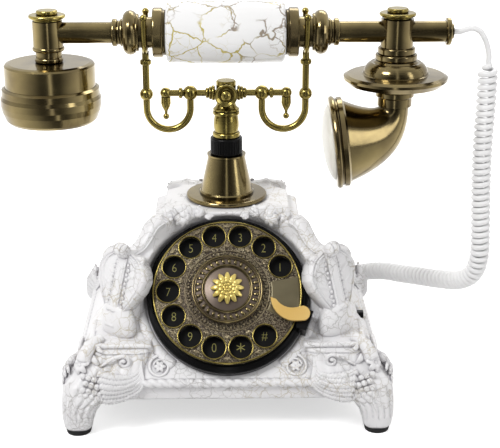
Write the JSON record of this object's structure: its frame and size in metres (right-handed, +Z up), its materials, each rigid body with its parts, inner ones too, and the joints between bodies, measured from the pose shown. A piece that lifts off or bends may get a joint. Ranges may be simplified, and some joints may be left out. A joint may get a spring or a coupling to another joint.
{
  "type": "rotary telephone",
  "caption": "Pedestal rotary telephone with a carved resin base, tilted dial, forked cradle, horn mouthpiece handset and curly cord.",
  "frame": {"origin": "on the table, midway between the four feet and under the post", "axes": "+Z up along the post, -Y out of the front that carries the dial, +X towards the mouthpiece, along the handset"},
  "size_m": [0.302, 0.2157, 0.2362],
  "materials": {
    "resin": "white crackle",
    "brass": "antique, brushed and lacquered",
    "gilt": "polished",
    "black_plastic": "gloss",
    "black_paint": "gloss",
    "steel": "plated",
    "cream": "satin",
    "rubber": "matt",
    "board": "satin",
    "cord": "satin"
  },
  "bodies": {
    "base": {"base_shell": "resin", "base_plate": "black_plastic", "screws": "steel", "foot_pads": "rubber", "main_board": "board", "ringer_speaker": "black_plastic", "ringer_switch": "steel", "cord_inlet": "cream", "line_jack": "black_plastic", "dial_bezel": "black_plastic", "dial_cup": "black_plastic", "number_plate": "black_paint", "return_spring": "steel", "dial_frame": "steel", "pulse_contacts": "cream", "stop_block": "black_plastic", "post_flange": "brass", "post_cone": "brass", "knurled_collar": "black_plastic", "column": "brass", "post_tube": "steel", "post_nut": "steel", "plunger_spring": "steel", "hook_switch": "steel", "cord_coil": "cord", "cord_tail_base": "cord"},
    "handset": {"grip": "resin", "tie_tube": "steel", "collar_left": "brass", "collar_right": "brass", "arm_tubes": "brass", "barrel_left": "brass", "barrel_right": "brass", "finials": "gilt", "earpiece_can": "brass", "earpiece_cap": "brass", "receiver_capsule": "steel", "mouth_saucer": "brass", "mouth_horn": "brass", "mic_capsule": "steel", "horn_ring": "brass", "mouth_cover": "cream", "cord_gland": "brass", "cord_tail_handset": "cord"},
    "cradle": {"cradle_hub": "brass", "hub_rosette": "gilt", "arm_left": "brass", "arm_right": "brass", "hook_left": "brass", "hook_right": "brass", "pendants": "gilt", "plunger_rod": "steel"},
    "dial": {"finger_wheel": "brass", "dial_medallion": "brass", "dial_shaft": "steel", "main_gear": "brass"},
    "governor": {"governor": "brass"},
    "hook_lever": {"hook_lever": "cream"},
    "finger_stop": {"finger_stop": "gilt"},
    "ringer_knob": {"ringer_knob": "black_plastic"}
  },
  "joints": [
    {"name": "handset_lift", "type": "slide", "parent": "base", "child": "handset", "axis": [0, 0, 1], "range_m": [0, 0.06]},
    {"name": "cradle_rise", "type": "slide", "parent": "base", "child": "cradle", "axis": [0, 0, 1], "range_m": [0, 0.004], "stiffness_N_per_m": 300, "springref_m": 0.008, "deforming": ["plunger_spring"]},
    {"name": "hook_lever_tilt", "type": "hinge", "parent": "base", "child": "hook_lever", "pos_m": [0.014, 0, 0.0865], "axis": [0, 1, 0], "range_deg": [0, 14]},
    {"name": "dial_turn", "type": "hinge", "parent": "base", "child": "dial", "pos_m": [0, -0.05627, 0.0706], "axis": [0, 0.7659, -0.643], "range_deg": [0, 313], "stiffness_Nm_per_rad": 0.008, "springref_deg": -68.75},
    {"name": "governor_spin", "type": "hinge", "parent": "base", "child": "governor", "pos_m": [0.0242, -0.05627, 0.0706], "axis": [0, 0.7659, -0.643], "range_deg": [-940, 0]},
    {"name": "finger_stop_press", "type": "slide", "parent": "base", "child": "finger_stop", "axis": [0, 0.7659, -0.643], "range_m": [0, 0.0008], "stiffness_N_per_m": 800, "springref_m": -0.0012},
    {"name": "ringer_knob_slide", "type": "slide", "parent": "base", "child": "ringer_knob", "axis": [0, 1, 0], "range_m": [0, 0.005]}
  ],
  "couplings": [
    {"joint": "cradle_rise", "follows": "handset_lift", "ratio": 0.0666},
    {"joint": "hook_lever_tilt", "follows": "handset_lift", "rad_per_m": 4.07},
    {"joint": "governor_spin", "follows": "dial_turn", "ratio": -3}
  ]
}
